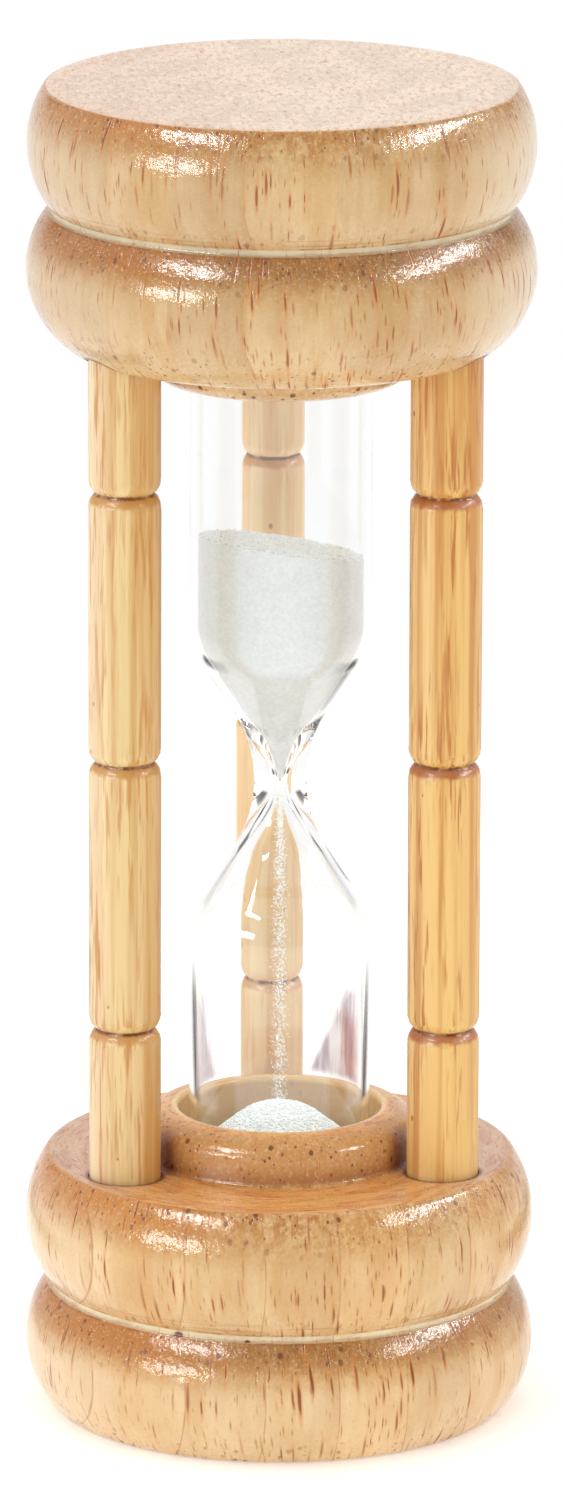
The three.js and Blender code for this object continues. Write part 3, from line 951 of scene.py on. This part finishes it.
# copies of one grain, each turned and sized at random, joined into one mesh
def scatter(name, places, size, chance):
    grain = makeGrain()
    shape = np.array([v.co for v in grain.data.vertices])
    faces = np.array([p.vertices for p in grain.data.polygons])
    bpy.data.objects.remove(grain)
    points, corners = [], []
    for i, place in enumerate(places):
        turn = Euler([chance.uniform(0, 2 * math.pi) for _ in range(3)]).to_matrix()
        scale = size * chance.uniform(0.6, 1.25)
        points.append((shape @ np.array(turn).T * scale + np.array(place)) * mm)
        corners.append(faces + i * len(shape))
    mesh = bpy.data.meshes.new(name)
    mesh.from_pydata(np.concatenate(points).tolist(), [], np.concatenate(corners).tolist())
    piece = bpy.data.objects.new(name, mesh)
    bpy.context.scene.collection.objects.link(piece)
    return piece


def joined(piece, *others):
    deselectAll()
    for other in (piece, *others):
        other.select_set(True)
    bpy.context.view_layer.objects.active = piece
    bpy.ops.object.join()
    return piece


def makeUpperSand():
    wall = [(r, neckHeight + h) for r, h in boreWall(vial["sandClearance"], 16)]
    tip = neckHeight + sand["gap"]
    wall = [p for p in wall if p[1] > tip]
    slope, bearing = math.radians(sand["upperSlope"]), math.radians(sand["upperBearing"])
    surface = neckHeight + sand["upperDepth"]
    brim = surface + 2 * vialRadius * math.tan(slope)
    points = [(0, tip), (wall[0][0], tip), *wall, (fillRadius, brim), (0, brim)]
    piece = turned("upperSand", points, sand["steps"])
    tilt = Vector((math.sin(slope) * math.cos(bearing), math.sin(slope) * math.sin(bearing), math.cos(slope)))
    bpy.ops.object.mode_set(mode="EDIT")
    bpy.ops.mesh.select_all(action="SELECT")
    bpy.ops.mesh.bisect(plane_co=(0, 0, surface * mm), plane_no=tilt, use_fill=True, clear_outer=True)
    bpy.ops.object.mode_set(mode="OBJECT")
    smooth(piece, 40)
    chance = random.Random(11)
    places = []
    for _ in range(sand["upperGrains"]):
        r, a = (fillRadius - 0.12) * math.sqrt(chance.random()), chance.uniform(0, 2 * math.pi)
        x, y = r * math.cos(a), r * math.sin(a)
        z = surface - (x * tilt.x + y * tilt.y) / tilt.z
        places.append((x, y, z + chance.uniform(-0.03, 0.1)))
    return joined(piece, scatter("upperGrains", places, sand["grain"] * 1.3, chance))


def heapHeight(r):
    slope = math.radians(sand["heapSlope"])
    ball = sand["heapPeakRadius"]
    edge = ball * math.sin(slope)
    peak = heapHigh.z / mm
    if r < edge:
        return peak - ball + math.sqrt(ball * ball - r * r)
    return peak - ball * (1 - math.cos(slope)) - (r - edge) * math.tan(slope)


def makeHeap():
    floor = vialBottom + vial["endThickness"] + vial["sandClearance"]
    rounding = vial["endRadius"] - vialWall - vial["sandClearance"]
    points = closedEnd(fillRadius, rounding, floor, 8)
    points += [(r, heapHeight(r)) for r in (fillRadius * (1 - i / 24) for i in range(25))]
    piece = turned("heap", points, sand["steps"])
    smooth(piece, 40)
    chance = random.Random(5)
    places = []
    for _ in range(sand["heapGrains"]):
        r, a = (fillRadius - 0.09) * math.sqrt(chance.random()), chance.uniform(0, 2 * math.pi)
        places.append((r * math.cos(a), r * math.sin(a), heapHeight(r) + chance.uniform(-0.03, 0.06)))
    return joined(piece, scatter("heapGrains", places, sand["grain"], chance))


# grains in free fall: packed under the orifice, further apart lower down
def makeStream():
    chance = random.Random(8)
    start, end = neckHeight, heapHigh.z / mm + sand["gap"]
    places = []
    for _ in range(sand["streamGrains"]):
        fall = chance.random() ** 1.25
        spread = 0.1 + 0.15 * min(fall * 2.5, 1)
        x, y = chance.gauss(0, spread), chance.gauss(0, spread)
        places.append((x, y, start + (end - start) * fall))
    return scatter("sandStream", places, sand["streamGrain"], chance)


def makeSandFinish(name, paintedHaze):
    s = Shader(name)
    where = s.place()
    high = s.ease(s.split(where)[2], neckHeight - 4, neckHeight + 4)
    speckle = s.node("TexVoronoi", inputs={"Vector": where, "Scale": 6.0}, out="Color")
    shade, glint, _ = s.split(speckle)
    drift = s.noise(where, 0.8, 2.0)
    colour = s.mix(shade * 0.4 + (drift - 0.5) * 0.4, tint(236, 243, 247), tint(208, 216, 222))
    grains = s.node("TexVoronoi", inputs={"Vector": where, "Scale": 6.0})
    normal = s.bump(grains, 0.05, 0.5)
    rough = 0.9 - s.ease(glint, 0.9, 0.97) * 0.6
    # painted light: up-facing sand glows, standing in for light that soaks in through the sides of a pile and
    # comes out of its top; some grains glow as painted glints, and the haze makes all of it glow
    up = s.ease(s.split(s.node("TexCoord", out="Normal"))[2], 0.1, 0.75)
    lift = up * (1 - high * 0.2) + up * s.ease(glint, 0.86, 0.94) * 1.2 + paintedHaze
    shader = {
        "Base Color": colour,
        "Roughness": rough,
        "Normal": normal,
        "IOR": 1.5,
        "Emission Color": s.mix(lift, (0.0, 0.0, 0.0, 1), (0.3, 0.33, 0.33, 1)),
        "Emission Strength": 1.0,
    }
    return s.finish(s.node("BsdfPrincipled", inputs=shader))


sandFinish = makeSandFinish("white sand", 0.0)
upperSand = makeUpperSand()
wear(upperSand, sandFinish)
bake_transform(upperSand)
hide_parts("upper_sand")

heap = makeHeap()
wear(heap, sandFinish)
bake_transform(heap)
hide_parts("lower_sand")

stream = makeStream()
# the falling sand glows all over with painted light
wear(stream, makeSandFinish("falling sand", 0.9))
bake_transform(stream)
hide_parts("sand_stream")
print("sand poured")


def makeCork():
    s = Shader("stopper cork")
    where = s.place()
    cells = s.node("TexVoronoi", inputs={"Vector": where, "Scale": 2.2}, out="Distance")
    fine = s.noise(where, 5.0, 3.0)
    colour = s.mix(fine, tint(198, 154, 106), tint(158, 112, 70))
    colour = s.mix((1 - s.ease(cells, 0.05, 0.25)) * 0.6, colour, tint(104, 68, 40))
    normal = s.bump(s.ease(cells, 0.02, 0.3) + fine * 0.3, 0.08, 0.6)
    shader = {"Base Color": colour, "Roughness": 0.85, "Normal": normal}
    return s.finish(s.node("BsdfPrincipled", inputs=shader))


def makeFelt():
    s = Shader("pad felt")
    where = s.place()
    fuzz = s.noise(where, 6.0, 4.0, 0.7, 1.5)
    colour = s.mix(fuzz, tint(160, 152, 140), tint(112, 106, 98))
    normal = s.bump(fuzz, 0.12, 0.6)
    shader = {"Base Color": colour, "Roughness": 0.95, "Normal": normal, "Sheen Weight": 0.4}
    return s.finish(s.node("BsdfPrincipled", inputs=shader))


wear(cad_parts["vial_stopper"], makeCork())
padFelt = makeFelt()
for name in ("base_pad", "top_pad"):
    wear(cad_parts[name], padFelt)
print("stopper and pads finished")


studio = {
    "sky": 0.3,
    "sides": 0.42,
    "leftward": 0.12,
    "zenith": 0.95,
    "warm": (1, 0.94, 0.86, 1),
    "dark": 0.3,
    "floorDark": 0.12,
    "floorGlow": 0.3,
    "distance": 0.8,
    "lamps": {
        "leftHigh": {"azimuth": -53, "elevation": 43, "size": (0.34, 0.05), "power": 4.0},
        "leftLow": {"azimuth": -52, "elevation": 14, "size": (0.4, 0.12), "power": 2.9},
        "right": {"azimuth": 84, "elevation": 34, "size": (0.7, 0.03), "power": 5.6},
    },
}


def makeFloor():
    deselectAll()
    bpy.ops.mesh.primitive_plane_add(size=12, location=(0, 0, 0))
    floor = bpy.context.object
    floor.name = "floor"
    s = Shader("paper sweep")
    matte = s.node("BsdfDiffuse", inputs={"Color": (0.9, 0.9, 0.9, 1)})
    lift = s.node("Emission", inputs={"Color": (1, 1, 1, 1), "Strength": studio["floorGlow"]})
    near = s.node("AddShader", inputs={0: matte, 1: lift})
    glow = s.node("Emission", inputs={"Color": (1, 1, 1, 1), "Strength": 1.0})
    where = s.node("TexCoord", out="Object")
    reach = s.length(where)
    bare = s.seenBy("Is Camera Ray", "Is Glossy Ray", "Is Transmission Ray")
    sweep = s.node("MixShader", inputs={0: s.ease(reach, 0.05, 0.25) * bare, 1: near, 2: glow})
    # what the walls of the glass mirror: a darker patch of table to both sides
    dusk = s.node("Emission", inputs={"Color": (1, 0.82, 0.72, 1), "Strength": studio["floorDark"]})
    x, y, z = s.split(where)
    out = s.maths("ABSOLUTE", x)
    beside = s.ease(out, 0.034, 0.05) * (1 - s.ease(out, 0.061, 0.067)) * s.ease(y, 0.0, 0.02)
    beside = beside * (1 - s.ease(reach, 0.1, 0.12))
    shiny = s.seenBy("Is Glossy Ray", "Is Transmission Ray")
    wear(floor, s.finish(s.node("MixShader", inputs={0: beside * shiny, 1: sweep, 2: dusk})))


# a lamp that shows only as a highlight; the sky gives the soft light
def makeLamp(name, lamp, aim):
    a, e = math.radians(lamp["azimuth"]), math.radians(lamp["elevation"])
    toward = Vector((math.sin(a) * math.cos(e), -math.cos(a) * math.cos(e), math.sin(e)))
    data = bpy.data.lights.new(name, "AREA")
    data.shape = "RECTANGLE"
    data.size, data.size_y = lamp["size"]
    data.energy = lamp["power"]
    made = bpy.data.objects.new(name, data)
    bpy.context.scene.collection.objects.link(made)
    made.location = aim + toward * studio["distance"]
    made.rotation_euler = (-toward).to_track_quat("-Z", "Y").to_euler()
    made.visible_diffuse = False


# white where the camera looks, dimmer as a light, and for shiny things dark on the camera's side
def makeSky():
    s = Shader("studio", "World")
    toward = s.split(s.node("NewGeometry", out="Position"))
    shiny = s.seenBy("Is Glossy Ray", "Is Transmission Ray")
    ahead = s.ease(toward[1], -0.55, 0.15)
    mirrored = ahead * (1 - studio["dark"]) + studio["dark"]
    lean = toward[0] / s.maths("MAXIMUM", toward[1], 0.05)
    leftFlat = s.ease(lean, -0.85, -0.72) * (1 - s.ease(lean, -0.5, -0.4))
    rightFlat = s.ease(lean, 0.68, 0.78) * (1 - s.ease(lean, 1.0, 1.15))
    flats = s.maths("MAXIMUM", leftFlat, rightFlat)
    flats = flats * s.ease(toward[2], 0.06, 0.18) * (1 - s.ease(toward[2], 0.36, 0.46))
    mirrored = mirrored * (1 - flats * 0.92)
    soft = s.maths("ABSOLUTE", toward[0]) * studio["sides"] - toward[0] * studio["leftward"] + studio["sky"]
    soft = s.maths("MAXIMUM", toward[2], 0.0) * studio["zenith"] + soft
    level = shiny * (mirrored - soft) + soft
    camera = s.seenBy("Is Camera Ray")
    level = camera * (1 - level) + level
    plain = s.maths("MAXIMUM", s.maths("MAXIMUM", camera, shiny), s.ease(toward[1], -0.7, 0.1))
    colour = s.mix(plain, studio["warm"], (1, 1, 1, 1))
    bpy.context.scene.world = s.finish(s.node("Background", inputs={"Color": colour, "Strength": level}))


makeFloor()
middle = Vector((0, 0, 0.045))
for name, lamp in studio["lamps"].items():
    makeLamp(name, lamp, middle)
makeSky()
scene = bpy.context.scene
scene.view_settings.view_transform = "Standard"
scene.cycles.max_bounces = scene.cycles.glossy_bounces = scene.cycles.transmission_bounces = 24
print("studio lit")
